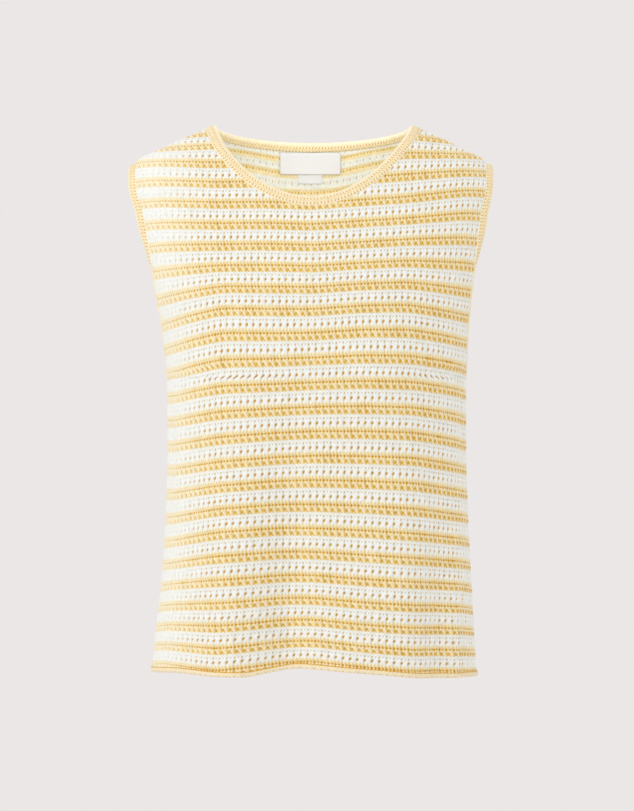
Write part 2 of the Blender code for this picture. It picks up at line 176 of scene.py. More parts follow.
# The same motif from inside the garment.
INNER_WHITE_CHART = (
    "88888888",
    "87888888",
    "66898788",
    "36896788",
    "47897888",
    "58898888",
    "37898888",
    "46888888",
    "88888888",
    "78887888",
)
INNER_YELLOW_CHART = (
    "78687968",
    "68796879",
    "57685768",
    "26673566",
    "14662466",
    "36674567",
    "67686878",
    "78697968",
    "67586758",
    "68796879",
)
GAP_DEPTH, YARN_PROUD = -2.1, 0.75      # heights of 0 and 9 in the charts
INNER_CLEARANCE, INNER_RELIEF = 0.2, 0.55               # of the inner face: past the wall, share of relief
MOTIF_ROWS, MOTIF_COLUMNS = 64, 80
UNEVEN_PLACE, UNEVEN_DEPTH = 0.04, 0.08                 # how much the motifs differ from one another
UNEVEN_SEED = {"front": 11, "back": 12}
SHAPING = 12.0              # height over an armhole's foot in which the wales spread to the side seam
SEAM_FADE, SEAM_RELIEF = 3.0, 0.15      # towards a seam the relief sinks to this share, over this distance
SIDE_SEAM, SIDE_SEAM_YARN = 1.0, 0.4    # half width of the side seam's line, share of yarn height in it
PANEL_FOOT = 2.5                        # a panel's knit ends inside the hem's roll, this far above its edge
# Stitches are pulled flat where the cloth is taut. Columns: place across, share pulled flat.
TAUT = ((-165.0, 0.7), (-95.0, 0.0), (120.0, 0.0), (210.0, 0.4))


def along(rows, place, column):
    """A column of a table at a place between its rows, smooth and with no overshoot."""
    if rows[0][0] > rows[-1][0]:
        rows = rows[::-1]
    place = min(max(place, rows[0][0]), rows[-1][0])
    last = len(rows) - 2
    index = next(i for i in range(last + 1) if place <= rows[i + 1][0])

    def steepness(i):
        return (rows[i + 1][column] - rows[i][column]) / (rows[i + 1][0] - rows[i][0])

    def slope(i):
        if i == 0:
            return steepness(0)
        if i == last + 1:
            return steepness(last)
        before, after = steepness(i - 1), steepness(i)
        return 2 * before * after / (before + after) if before * after > 0 else 0.0

    low, high = rows[index], rows[index + 1]
    step = high[0] - low[0]
    t = (place - low[0]) / step
    return (low[column] + (high[column] - low[column]) * t * t * (3 - 2 * t)
            + slope(index) * step * t * (1 - t) ** 2
            - slope(index + 1) * step * t * t * (1 - t))


HEIGHTS = np.linspace(-545.0, 23.0, 569)                # one row for each millimetre
EDGE, MIDDLE = (np.array([along(FORM, h, column) for h in HEIGHTS]) for column in (HALF_WIDTH, CENTRE))
DEPTH = {
    panel: np.array([along(FORM, h, column) for h in HEIGHTS])
    for panel, column in (("front", FRONT), ("back", BACK))
}
ARM_MIDDLE = (ARM_TOP + ARM_BOTTOM) / 2
ARM_HALF = ARM_TOP - ARM_MIDDLE
ARM_GAP = ARM_REACH * np.sqrt(np.clip(1 - ((HEIGHTS - ARM_MIDDLE) / ARM_HALF) ** 2, 0, 1))
FULL_HALF = {
    panel: EDGE / (1 - (ARM_GAP / DEPTH[panel]) ** SQUARENESS) ** (1 / SQUARENESS) for panel in DEPTH
}
SHARES = np.linspace(0.0, 1.0, 201)


def bow(ratio):
    """Depth of a level section, as a share of its greatest, at a share of its half width."""
    return (1 - np.clip(ratio, 0, 1) ** SQUARENESS) ** (1 / SQUARENESS)


def cloth_lengths(panel):
    """Length of cloth from the centre line to the edge, and places across at even shares of it."""
    turns = np.sin(np.linspace(0, math.pi / 2, 181))
    lengths = np.empty(len(HEIGHTS))
    places = np.empty((len(HEIGHTS), len(SHARES)))
    for i, height in enumerate(HEIGHTS):
        row = min(i, int(np.searchsorted(HEIGHTS, STRAIGHT_ABOVE)))
        across = EDGE[row] * turns
        deep = DEPTH[panel][row] * bow(across / FULL_HALF[panel][row])
        run = np.concatenate([[0.0], np.cumsum(np.hypot(np.diff(across), np.diff(deep)))])
        lengths[i] = run[-1]
        edge = np.interp(min(height, ARM_TOP), HEIGHTS, EDGE)
        places[i] = np.interp(SHARES * run[-1], run, across) * edge / across[-1]
    return lengths, places


CLOTH = {panel: cloth_lengths(panel) for panel in DEPTH}


def cloth_length(panel, height):
    """Length of cloth from the centre line to the edge at a height."""
    return np.interp(height, HEIGHTS, CLOTH[panel][0])


def across_at(panel, share, height):
    """Distance from the centre line, to the right, at a share of the panel's half width."""
    row = np.clip(height - HEIGHTS[0], 0, len(HEIGHTS) - 1.001)
    column = np.clip(np.abs(share), 0, 1) * (len(SHARES) - 1.001)
    i, j = row.astype(int), column.astype(int)
    a, b = row - i, column - j
    table = CLOTH[panel][1]
    low = table[i, j] * (1 - b) + table[i, j + 1] * b
    high = table[i + 1, j] * (1 - b) + table[i + 1, j + 1] * b
    return np.sign(share) * (low * (1 - a) + high * a)


def fold_height(panel, cloth_across, height):
    """How far the folds lift the cloth off its form."""
    total = np.zeros_like(height)
    for side, middle, top, bottom, half_breadth, rise in FOLDS:
        if side == panel:
            inside = (height < top) & (height > bottom)
            run = np.sin(math.pi * (top - height) / (top - bottom)) ** 2 * inside
            total += rise * run * np.exp(-((cloth_across - middle) / half_breadth) ** 2)
    return total


def cloth_points(panel, share, height):
    """Outer face of a panel at arrays of shares and heights, in millimetres."""
    across = across_at(panel, share, height)
    half = np.interp(height, HEIGHTS, FULL_HALF[panel])
    deepest = np.interp(height, HEIGHTS, DEPTH[panel])
    deep = deepest * bow(np.abs(across) / half)
    slope_x = (np.abs(across) / half) ** (SQUARENESS - 1) / half
    slope_y = (deep / deepest) ** (SQUARENESS - 1) / deepest
    steepness = np.hypot(slope_x, slope_y)
    fold = fold_height(panel, share * cloth_length(panel, height), height)
    x = across + np.sign(across) * fold * slope_x / steepness
    deep = np.maximum(deep + fold * slope_y / steepness, 0.0)
    facing = -1 if panel == "front" else 1
    return np.stack([np.interp(height, HEIGHTS, MIDDLE) + x, facing * deep, height], axis=-1)


def unit(vectors):
    """Vectors made one long."""
    return vectors / np.maximum(np.linalg.norm(vectors, axis=-1, keepdims=True), 1e-9)


STEP_SHARE, STEP_HEIGHT = 0.004, 0.6    # steps over which the cloth's slope is taken
OUTWARD = (0.3, 60.0, 30.0)             # weights of the axes when a normal is turned outwards
SEAM_LEVEL = 5.0                        # this near the seams' plane, normals are turned level with it


def cloth_normals(panel, share, height):
    """Directions straight out from the cloth; at the side and shoulder seams both panels agree."""
    inner = np.where(share > 0, -STEP_SHARE, STEP_SHARE)
    here = cloth_points(panel, share, height)
    sideways = cloth_points(panel, share + inner, height) - here
    downwards = cloth_points(panel, share, height - STEP_HEIGHT) - here
    normals = unit(np.cross(sideways, downwards))
    facing = -1 if panel == "front" else 1
    x, y, z = (normals[..., i:i + 1] * OUTWARD[i] for i in range(3))
    outward = here[..., 0:1] * x + facing * y + z
    normals = normals * np.where(outward < 0, -1.0, 1.0)
    normals[..., 1] *= np.clip(np.abs(here[..., 1]) / SEAM_LEVEL, 0, 1)
    return unit(normals)


# ---------------------------------------------------------------- outlines

def ridge_height(across):
    """Height of the shoulder seam at distances from the centre line."""
    upper = HEIGHTS >= ARM_TOP
    return np.interp(np.abs(across), EDGE[upper][::-1], HEIGHTS[upper][::-1])


def neck_line(panel, turn, free_edge):
    """Places across and heights of the neck's seam, or of its band's free edge."""
    half, top = NECK_HALF_WIDTH, NECK_TOP
    bottom = NECK_TOP - NECK_DROP[panel]
    if free_edge:
        half -= NECK_BAND_WIDTH
        top = float(ridge_height(np.array(half)))
        bottom += NECK_BAND_RISE[panel]
    fall = np.cos(turn) ** NECK_SQUARENESS[panel]
    return half * np.sin(turn), top - (top - bottom) * fall


def top_limit(panel, across):
    """Height at which a panel ends: its shoulder seam, or the seam of the neck band."""
    inside = np.abs(across) < NECK_HALF_WIDTH
    turn = np.arcsin(np.clip(np.abs(across) / NECK_HALF_WIDTH, 0, 1))
    seam = NECK_TOP - NECK_DROP[panel] * np.cos(turn) ** NECK_SQUARENESS[panel]
    return np.where(inside, seam, ridge_height(across))


def hem_heights(panel, share):
    """Height of a panel's lower edge at shares of its half width."""
    places = np.linspace(-1, 1, 161)
    return np.interp(share, places, [along(HEM[panel], place, 1) for place in places])


# ---------------------------------------------------------------- courses and stitches

def course_heights(panel, bands, cloth_across):
    """Height of each band of the knit (two to a stripe) at places across: one row for each band."""
    rows = []
    for band in bands:
        stripe = band / 2 - 0.25
        middle = along(COURSES, stripe, 1)
        rises = [along(COURSES, stripe, column) for column in range(2, 10)]
        rises.insert(4, 0.0)
        places = COURSE_PLACES
        if panel == "back":
            left, right = rises[0], rises[-1]
            rise, sag = along(BACK_RISE, stripe, 1), along(BACK_RISE, stripe, 2)
            places = [place for place, _, _ in BACK_SWELL]
            rises = [left + (right - left) * (place + BACK_SIDE) / (2 * BACK_SIDE)
                     + rise * swell + sag * dip for place, swell, dip in BACK_SWELL]
        rows.append(middle + np.interp(cloth_across, places, rises))
    heights = np.array(rows)
    reach = max(1, int(COURSE_EASE / abs(cloth_across[1] - cloth_across[0])))
    window = np.hanning(2 * reach + 1)
    window /= window.sum()
    padded = np.pad(heights, ((0, 0), (reach, reach)), mode="reflect", reflect_type="odd")
    return np.apply_along_axis(lambda row: np.convolve(row, window, mode="valid"), 1, padded)


def chart_values(chart, across, down):
    """Read a chart, from 0 to 1, at fractions of a motif across and of a band down."""
    cells = np.array([[int(cell) for cell in row] for row in chart]) / 9.0
    rows, columns = cells.shape
    x = (across % 1.0) * columns
    y = np.clip(down * rows - 0.5, 0, rows - 1.001)
    i, j = x.astype(int) % columns, y.astype(int)
    a, b = x - np.floor(x), y - j
    upper = cells[j, i] * (1 - a) + cells[j, (i + 1) % columns] * a
    lower = cells[j + 1, i] * (1 - a) + cells[j + 1, (i + 1) % columns] * a
    return upper * (1 - b) + lower * b


def yarn_heights(wale, band, charts, seed):
    """Stitch height from 0 to 1 at each wale and band, a little uneven from motif to motif."""
    down = 1 - band % 1.0
    white = np.floor(band).astype(int) % 2 == 1
    rng = np.random.default_rng(seed)
    shift = rng.normal(0.0, UNEVEN_PLACE, (MOTIF_ROWS, MOTIF_COLUMNS))
    depth = rng.normal(1.0, UNEVEN_DEPTH, (MOTIF_ROWS, MOTIF_COLUMNS))
    row = np.clip(np.floor(band).astype(int) + 2, 0, MOTIF_ROWS - 1)
    column = np.clip(np.floor(wale + 0.5).astype(int) + MOTIF_COLUMNS // 2, 0, MOTIF_COLUMNS - 1)
    across = wale + shift[row, column]
    value = np.where(white, chart_values(charts[0], across, down), chart_values(charts[1], across, down))
    return np.clip(1 - (1 - value) * depth[row, column], 0, 1)


# ---------------------------------------------------------------- meshes

def grid_piece(name, columns, rows, points, knit=None, keep=None, wrap=False):
    """A grid whose points lie at given places, with its knit coordinates as an attribute.

    points and knit have one row for each grid row; keep marks the points inside the outline, and
    wrap joins the edges that meet.
    """
    bm = bmesh.new()
    bmesh.ops.create_grid(bm, x_segments=columns, y_segments=rows, size=0.5)
    mesh = bpy.data.meshes.new(name)
    bm.to_mesh(mesh)
    bm.free()
    flat = np.empty(len(mesh.vertices) * 3, dtype=np.float32)
    mesh.vertices.foreach_get("co", flat)
    grid = flat.reshape(-1, 3)
    column = np.rint((grid[:, 0] + 0.5) * columns).astype(int)
    row = np.rint((grid[:, 1] + 0.5) * rows).astype(int)
    mesh.vertices.foreach_set("co", (points[row, column] * MM).astype(np.float32).ravel())
    if knit is not None:
        attribute = mesh.attributes.new("knit", "FLOAT_VECTOR", "POINT")
        attribute.data.foreach_set("vector", knit[row, column].astype(np.float32).ravel())
    if keep is not None or wrap:
        bm = bmesh.new()
        bm.from_mesh(mesh)
        if keep is not None:
            inside = keep[row, column]
            outside = [f for f in bm.faces if not any(inside[v.index] for v in f.verts)]
            bmesh.ops.delete(bm, geom=outside, context="FACES")
        if wrap:
            bmesh.ops.remove_doubles(bm, verts=bm.verts, dist=0.02 * MM)
        bm.to_mesh(mesh)
        bm.free()
    mesh.shade_smooth()
    piece = bpy.data.objects.new(name, mesh)
    bpy.context.scene.collection.objects.link(piece)
    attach(piece, "root")
    return piece


def face_outwards(piece, reference):
    """Turn a sheet's faces so that they point the way of a reference direction."""
    mesh = piece.data
    normals = np.empty(len(mesh.polygons) * 3, dtype=np.float32)
    mesh.polygons.foreach_get("normal", normals)
    if normals.reshape(-1, 3).mean(axis=0) @ np.array(reference) < 0:
        mesh.flip_normals()


def knit_sheet(name, panel, bands, steps, inside=False):
    """A stretch of one panel's knit between two bands, as its outer or its inner face."""
    across_steps, up_steps = steps
    half = WALES[panel]
    columns = int(round(2 * half * across_steps))
    rows = int(round((bands[1] - bands[0]) * up_steps))
    wale = np.linspace(-half, half, columns + 1)
    band = np.linspace(bands[0], bands[1], rows + 1)
    height = course_heights(panel, band, wale * WALE)
    wale, band = np.meshgrid(wale, band)
    body = cloth_length(panel, height) / (half * WALE)
    blend = np.clip((ARM_BOTTOM + SHAPING - height) / SHAPING, 0, 1)
    share = wale * WALE * (1 + (body - 1) * blend) / cloth_length(panel, height)
    in_width = np.abs(share) <= 1.0
    share = np.clip(share, -1, 1)
    limit = top_limit(panel, across_at(panel, share, height))
    floor = hem_heights(panel, share) + PANEL_FOOT
    keep = in_width & (height < limit) & (height > floor)
    height = np.clip(height, floor, limit)
    charts = (INNER_WHITE_CHART, INNER_YELLOW_CHART) if inside else (WHITE_CHART, YELLOW_CHART)
    yarn = yarn_heights(wale, band, charts, UNEVEN_SEED[panel])
    to_side = (1 - np.abs(share)) * cloth_length(panel, height)
    calm = np.clip(np.minimum(limit - height, to_side) / SEAM_FADE, SEAM_RELIEF, 1)
    taut = np.interp(wale * WALE, *zip(*TAUT))
    yarn = 1 - (1 - yarn) * (1 - taut)
    yarn *= np.where((to_side < SIDE_SEAM) & (height < ARM_BOTTOM), SIDE_SEAM_YARN, 1.0)
    relief = (GAP_DEPTH + (YARN_PROUD - GAP_DEPTH) * yarn) * calm
    if inside:
        relief = -WALL - INNER_CLEARANCE - INNER_RELIEF * relief * calm
    normals = cloth_normals(panel, share, height)
    points = cloth_points(panel, share, height) + normals * relief[..., None]
    knit = np.stack([wale, band, yarn], axis=-1)
    piece = grid_piece(name, columns, rows, points, knit, keep)
    towards = -1 if (panel == "front") != inside else 1
    face_outwards(piece, (0, towards, 0))
    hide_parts(f"{panel}_panel")
    return piece


# Stretches of each panel: name, lowest and highest band, columns a motif, rows a band, inner face.
STRETCHES = {
    "front": (
        ("lower", -0.7, 14.0, 8, 10, False),
        ("middle", 14.0, 31.0, 8, 10, False),
        ("upper", 31.0, 51.0, 8, 10, False),
        ("inside", -0.7, 51.0, 3, 3, True),
    ),
    "back": (
        ("lower", -0.7, 14.0, 5, 5, False),
        ("middle", 14.0, 31.0, 5, 5, False),
        ("upper", 31.0, 51.0, 5, 5, False),
        ("inside", -0.7, 40.0, 3, 3, True),
        ("inside_neck", 40.0, 51.0, 8, 10, True),
    ),
}


def panel_faces(panel, looks):
    """All stretches of a panel; looks holds its outer and its inner material."""
    for name, low, high, across_steps, up_steps, inside in STRETCHES[panel]:
        sheet = knit_sheet(f"{panel}_knit_{name}", panel, (low, high), (across_steps, up_steps), inside)
        sheet.data.materials.append(looks[inside])


# Section of the rolled hem. Columns: height above the edge, distance out from the cloth's face.
HEM_SECTION = ((5.8, -1.6), (5.6, 0.4), (4.5, 1.5), (2.8, 1.9), (1.0, 1.3), (0.0, -0.2), (0.0, -1.6),
               (0.9, -3.0), (2.8, -3.7), (4.4, -3.6), (5.6, -3.0), (5.8, -2.2))
HEM_STEP, HEM_ROWS = 0.83, 18           # one column of the roll, and its rows round
HEM_YARN, HEM_RELIEF = 0.76, 1.8        # the yarn's middle height, and millimetres to a full height
# Two crossing waves knot the yarn. Columns: waves in a motif, waves round the roll.
HEM_KNOTS, HEM_WAVES = 0.24, ((1, 1.5), (2, -5))
HEM_GROOVE, GROOVE_TURN = 0.6, 0.06     # depth of the groove over the roll, and its place round the roll
YARN_LEVEL = 0.7                        # a yarn of this height lies on the line of its section


def smooth_section(section, count):
    """Points spread evenly along a section's rounded line."""
    corners = np.array(section)
    for _ in range(2):
        quarter = (3 * corners[:-1] + corners[1:]) / 4
        far = (corners[:-1] + 3 * corners[1:]) / 4
        corners = np.concatenate([corners[:1], np.stack([quarter, far], 1).reshape(-1, 2), corners[-1:]])
    run = np.concatenate([[0.0], np.cumsum(np.linalg.norm(np.diff(corners, axis=0), axis=1))])
    even = np.linspace(0, run[-1], count)
    return np.stack([np.interp(even, run, corners[:, i]) for i in (0, 1)], axis=1)


def hem_roll(panel, look):
    """The pale rolled edge knitted at the foot of a panel."""
    columns = int(WALES[panel] * WALE * 2 / HEM_STEP)
    section = smooth_section(HEM_SECTION, HEM_ROWS + 1)
    share, up = np.meshgrid(np.linspace(-1, 1, columns + 1), section[:, 0])
    height = hem_heights(panel, share) + up
    wale = share * WALES[panel]
    turn = np.linspace(0, 1, HEM_ROWS + 1)[:, None] * np.ones_like(share)
    knots = np.prod([np.sin(2 * math.pi * (wale * a + turn * b)) for a, b in HEM_WAVES], axis=0)
    groove = np.clip(1 - np.abs(turn - GROOVE_TURN) / GROOVE_TURN, 0, 1)
    yarn = HEM_YARN + HEM_KNOTS * knots - HEM_GROOVE * groove
    out = section[:, 1:] + HEM_RELIEF * (yarn - YARN_LEVEL)
    points = cloth_points(panel, share, height) + cloth_normals(panel, share, height) * out[..., None]
    knit = np.stack([wale, turn, yarn], axis=-1)
    piece = grid_piece(f"{panel}_hem_roll", columns, HEM_ROWS, points, knit)
    piece.data.materials.append(look)
    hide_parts(f"{panel}_panel")


# Section of a band. Columns: share of its width from the seam, distance out from the cloth's face.
BAND_SECTION = ((-0.16, -0.9), (-0.14, 0.5), (0.0, 1.1), (0.25, 1.3), (0.6, 1.4), (0.88, 0.9), (1.0, -0.3),
                (1.0, -1.5), (0.88, -2.8), (0.6, -3.5), (0.2, -3.5), (0.03, -3.3), (-0.1, -2.4))
BAND_ROWS, BAND_STEP = 32, 0.8          # rows round the section, and one column along the band
BAND_STITCH = 3.45                      # one slanted grain along a band
BAND_YARN, BAND_GRAINS, BAND_RELIEF = 0.8, 0.10, 0.7
GRAIN_LEAN = 0.7                        # grains that a stitch slants by from the seam to the rim
RIM_FROM, RIM_FADE = 0.8, 0.2           # the grains end here, over this share of the width
REVERSE_BELOW = -0.6                    # this far behind the cloth's face a band shows its reverse
# Rows of gaps between a band's stitches. Columns: depth, place from the seam (0) to the rim (1), its
# breadth, place along in grains, half width in grains, lean. A half width without end makes a groove.
FACE_GAPS = (
    (0.75, 0.08, 0.07, 0.0, 0.20, 0.0),
    (0.45, 0.27, 0.05, 0.1, 0.16, GRAIN_LEAN),
    (0.40, 0.41, 0.05, 0.6, 0.16, GRAIN_LEAN),
    (0.38, 0.60, 0.11, 0.1, 0.17, GRAIN_LEAN),
)
REVERSE_GAPS = (
    (0.62, 0.47, 0.13, 0.1, 0.20, 0.0),
    (0.50, 0.06, 0.06, 0.0, math.inf, 0.0),
    (0.30, 0.27, 0.05, 0.1, 0.16, GRAIN_LEAN),
)


def less_gaps(yarn, stitch, place, rows):
    """Yarn heights with rows of small gaps sunk into them."""
    for depth, middle, breadth, shift, width, lean in rows:
        off = (stitch + lean * place - shift + 0.5) % 1.0 - 0.5
        yarn = yarn - depth * np.exp(-((place - middle) / breadth) ** 2 - (off / width) ** 2)
    return yarn


def band_yarn(stitch, place, outer):
    """Stitch height from 0 to 1 over a band: gaps at the seam, slanted grains, slots, a smooth rim."""
    grains = BAND_GRAINS * np.sin(2 * math.pi * (stitch + GRAIN_LEAN * place))
    plain = BAND_YARN + grains * np.clip((RIM_FROM - place) / RIM_FADE, 0, 1)
    face, reverse = (less_gaps(plain, stitch, place, rows) for rows in (FACE_GAPS, REVERSE_GAPS))
    return np.clip(np.where(outer, face, reverse), 0, 1)


def band_piece(name, seams, frees, normals, look, slot):
    """A knitted band all the way round an opening, between its seam and its free edge."""
    loop = np.concatenate([seams, seams[:1]])
    run = np.concatenate([[0.0], np.cumsum(np.linalg.norm(np.diff(loop, axis=0), axis=1))])
    columns = int(run[-1] / BAND_STEP)
    even = np.linspace(0, run[-1], columns + 1)

    def evenly(values):
        values = np.concatenate([values, values[:1]])
        return np.stack([np.interp(even, run, values[:, i]) for i in range(3)], axis=1)

    seams, frees, normals = evenly(seams), evenly(frees), unit(evenly(normals))
    spans = frees - seams
    tangents = np.roll(seams[:-1], -1, axis=0) - np.roll(seams[:-1], 1, axis=0)
    tangents = unit(np.concatenate([tangents, tangents[:1]]))
    band_normals = unit(np.cross(tangents, spans))
    band_normals *= np.where((band_normals * normals).sum(axis=1, keepdims=True) < 0, -1, 1)
    section = smooth_section(BAND_SECTION + BAND_SECTION[:1], BAND_ROWS + 1)
    width, out = section[:, 0][:, None, None], section[:, 1][:, None, None]
    lean = np.clip(2 * width, 0, 1)
    normal = unit(normals[None] * (1 - lean) + band_normals[None] * lean)
    stitch = even[None, :] / BAND_STITCH
    place = section[:, 0][:, None]
    yarn = band_yarn(stitch, place, (section[:, 1] > REVERSE_BELOW)[:, None])
    relief = (BAND_RELIEF * (yarn - YARN_LEVEL))[..., None]
    points = seams[None] + spans[None] * width + normal * (out + relief)
    knit = np.stack(np.broadcast_arrays(stitch, place, yarn), axis=-1)
    points[:, -1] = points[:, 0]
    points[-1] = points[0]
    piece = grid_piece(name, columns, BAND_ROWS, points, knit, wrap=True)
    bm = bmesh.new()
    bm.from_mesh(piece.data)
    bmesh.ops.recalc_face_normals(bm, faces=bm.faces)
    bm.to_mesh(piece.data)
    bm.free()
    piece.data.materials.append(look)
    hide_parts(name.replace("_knit", ""))


def share_of(panel, across, height):
    """Share of the half width at places across: the inverse of across_at."""
    shares = np.linspace(0, 1, 400)
    found = np.empty_like(across)
    for i, (place, level) in enumerate(zip(np.abs(across), height)):
        found[i] = np.interp(place, across_at(panel, shares, np.full_like(shares, level)), shares)
    return found * np.sign(across)


NECK_POINTS, ARM_POINTS = 90, 160       # of a band's path: on half a panel's neck, on a panel's armhole
NECK_CROWDING = 1.5


def neck_band(look):
    """The band round the neck. Its points lie closer together towards the shoulders."""
    turns = math.pi / 2 * (1 - (1 - np.linspace(0, 1, NECK_POINTS)) ** NECK_CROWDING)
    seams, frees, normals = [], [], []
    for panel, hand, order in (("front", -1, -1), ("front", 1, 1), ("back", 1, -1), ("back", -1, 1)):
        turn = turns[::order][:-1]
        lines = []
        for free_edge in (False, True):
            across, height = neck_line(panel, turn, free_edge)
            share = hand * share_of(panel, across, height)
            points = cloth_points(panel, share, height)
            points[turn > math.pi / 2 - TINY, 1] = 0.0
            lines.append(points)
            if not free_edge:
                normals.append(cloth_normals(panel, share, height))
        seams.append(lines[0])
        frees.append(lines[1])
    path = (np.concatenate(part) for part in (seams, frees, normals))
    band_piece("neck_band_knit", *path, look, "plain_knit")


def armhole_band(side, hand, look):
    """The band round an armhole: it stands out at the shoulder and hugs the body at the foot."""
    turn = np.linspace(0, math.pi, ARM_POINTS)
    seams, frees, normals = [], [], []
    for panel, order in (("front", 1), ("back", -1)):
        height = (ARM_MIDDLE - ARM_HALF * np.cos(turn))[::order][:-1]
        share = np.full_like(height, hand)
        seam = cloth_points(panel, share, height)
        ends = (height <= ARM_BOTTOM + TINY) | (height >= ARM_TOP - TINY)
        seam[ends, 1] = 0.0
        inward = unit(np.stack([0 * height, -seam[:, 1] / ARM_REACH ** 2,
                                -(height - ARM_MIDDLE) / ARM_HALF ** 2], axis=1))
        t = (height - ARM_BAND_TURN["bottom"]) / (ARM_BAND_TURN["top"] - ARM_BAND_TURN["bottom"])
        t = np.clip(t, 0, 1)
        low, high = ARM_BAND_SIDEWAYS["bottom"], ARM_BAND_SIDEWAYS["top"]
        lean = (low + (high - low) * t * t * (3 - 2 * t))[:, None]
        direction = np.array([[hand, 0.0, 0.0]]) * lean + inward * np.sqrt(1 - lean ** 2)
        seams.append(seam)
        frees.append(seam + direction * ARM_BAND_WIDTH)
        normals.append(cloth_normals(panel, share, height))
    path = (np.concatenate(part) for part in (seams, frees, normals))
    band_piece(f"armhole_band_{side}_knit", *path, look, "plain_knit")


# ---------------------------------------------------------------- label and tab

# Edges, how far inside the cloth's face a tape lies, and its grid.
TAPES = {
    "neck_label": {
        "left": -37.8, "right": 24.2, "top": 1.5, "bottom": -19.8, "inside": 4.6, "grid": (60, 24),
    },
    "size_tab": {
        "left": -19.7, "right": 5.6, "top": -5.0, "bottom": -29.8, "inside": 3.4, "grid": (28, 28),
    },
}
TAPE_WALL, TAPE_SAG = 0.7, 0.5


def tape_piece(name, look):
    """A flat woven tape inside the back neck, whose lower edge stands off a little."""
    size = TAPES[name]
    columns, rows = size["grid"]
    across = np.linspace(size["left"], size["right"], columns + 1)
    height = np.linspace(size["bottom"], size["top"], rows + 1)
    across, height = np.meshgrid(across, height)
    centred = across - np.interp(height, HEIGHTS, MIDDLE)
    share = share_of("back", centred.ravel(), height.ravel()).reshape(across.shape)
    normals = cloth_normals("back", share, height)
    points = cloth_points("back", share, height)
    sag = TAPE_SAG * np.sin(math.pi * (across - size["left"]) / (size["right"] - size["left"]))
    lower = (height - size["top"]) / (size["bottom"] - size["top"])
    points -= normals * (size["inside"] + sag * lower)[..., None]
    piece = grid_piece(name + "_tape", columns, rows, points)
    face_outwards(piece, (0, -1, 0))
    piece.data.materials.append(look)
    thickness = piece.modifiers.new("wall", "SOLIDIFY")
    thickness.thickness = TAPE_WALL * MM
    thickness.offset = -1
    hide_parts(name)


# ---------------------------------------------------------------- materials

def linear(code):
    """sRGB hex to linear RGB."""
    parts = [int(code[i:i + 2], 16) / 255 for i in (1, 3, 5)]
    return tuple(c / 12.92 if c <= 0.04045 else ((c + 0.055) / 1.055) ** 2.4 for c in parts)


def add_node(tree, kind, settings=None, inputs=None):
    """A node with its settings; an input is a value, or a socket to link from."""
    node = tree.nodes.new(kind)
    for key, value in (settings or {}).items():
        setattr(node, key, value)
    for key, value in (inputs or {}).items():
        if isinstance(value, bpy.types.NodeSocket):
            tree.links.new(value, node.inputs[key])
        else:
            node.inputs[key].default_value = value
    return node


def new_material(name):
    """A material, its node tree and its shader."""
    material = bpy.data.materials.new(name)
    material.use_nodes = True
    return material, material.node_tree, material.node_tree.nodes["Principled BSDF"]


def ramp(tree, factor, stops):
    """Colours in between the stops, each a place from 0 to 1 and an sRGB hex value."""
    node = add_node(tree, "ShaderNodeValToRGB", inputs={0: factor})
    elements = node.color_ramp.elements
    while len(elements) < len(stops):
        elements.new(0.5)
    for element, (place, code) in zip(elements, stops):
        element.position = place
        element.color = (*linear(code), 1.0)
    return node.outputs["Color"]


YARN_STOPS = (0.1, 0.5, 0.9)            # yarn heights: in the gaps, on the flanks, on top
# Colours at those heights: the gap tones are painted shade between the stitches, the top tones a painted
# highlight on the yarn's crowns, and the flank tones the yarn's own colour.
WHITE_YARN = ("#D8D5C2", "#EEF2E9", "#F6FAF5")
YELLOW_YARN = ("#E0B450", "#F4DC96", "#FBF3D2")
PALE_YARN = ("#E6BE68", "#FAE9BA", "#FDF5D9")
# Gold, amber, honey and beige paint shade; cream paints a highlight.
GOLD, AMBER, HONEY, BEIGE, CREAM = "#DAA416", "#DFAC2A", "#DFAC46", "#D5BA8A", "#F6E4B4"

# Marks of painted shade in the eyelets, dot rows and gaps between the stitches, and a cream painted
# highlight. Columns: colour, times it comes in a motif, place across in motifs, place down in bands, half
# width and half height in millimetres, lean, strength.
MARK_CORE, MARK_RIM = 0.45, 1.35        # a mark is full up to the core and gone at the rim
WHITE_MARKS = (
    (HONEY, 1, 0.0, 0.70, 1.35, 1.55, 0.25, 1.0),
    (BEIGE, 1, 0.0, 0.30, 0.95, 1.1, 0.2, 0.8),
    (BEIGE, 1, 0.5, 0.28, 0.75, 0.9, 0.2, 0.6),
    (BEIGE, 2, 0.3, 0.10, 0.35, 1.3, 0.7, 0.30),
    (BEIGE, 1, 0.88, 0.92, 0.55, 1.3, 0.6, 0.55),
)
YELLOW_MARKS = (
    (GOLD, 1, 0.5, 0.38, 9.0, 0.5, 0.0, 0.35),
    (GOLD, 1, 0.0, 0.38, 1.15, 1.2, 0.0, 1.0),
    (GOLD, 1, 0.5, 0.37, 0.95, 1.0, 0.0, 1.0),
    (GOLD, 2, 0.3, 0.14, 0.35, 1.5, 0.7, 0.45),
    (AMBER, 1, 0.20, 0.78, 1.9, 1.8, 0.0, 0.5),
    (AMBER, 1, 0.30, 0.74, 1.0, 1.8, -0.4, 0.95),
    (CREAM, 1, 0.14, 0.68, 0.6, 0.8, 0.0, 0.7),
    (AMBER, 1, 0.70, 0.60, 0.35, 1.3, 0.9, 0.50),
    (GOLD, 2, 0.05, 0.95, 0.6, 0.7, 0.0, 0.7),
)
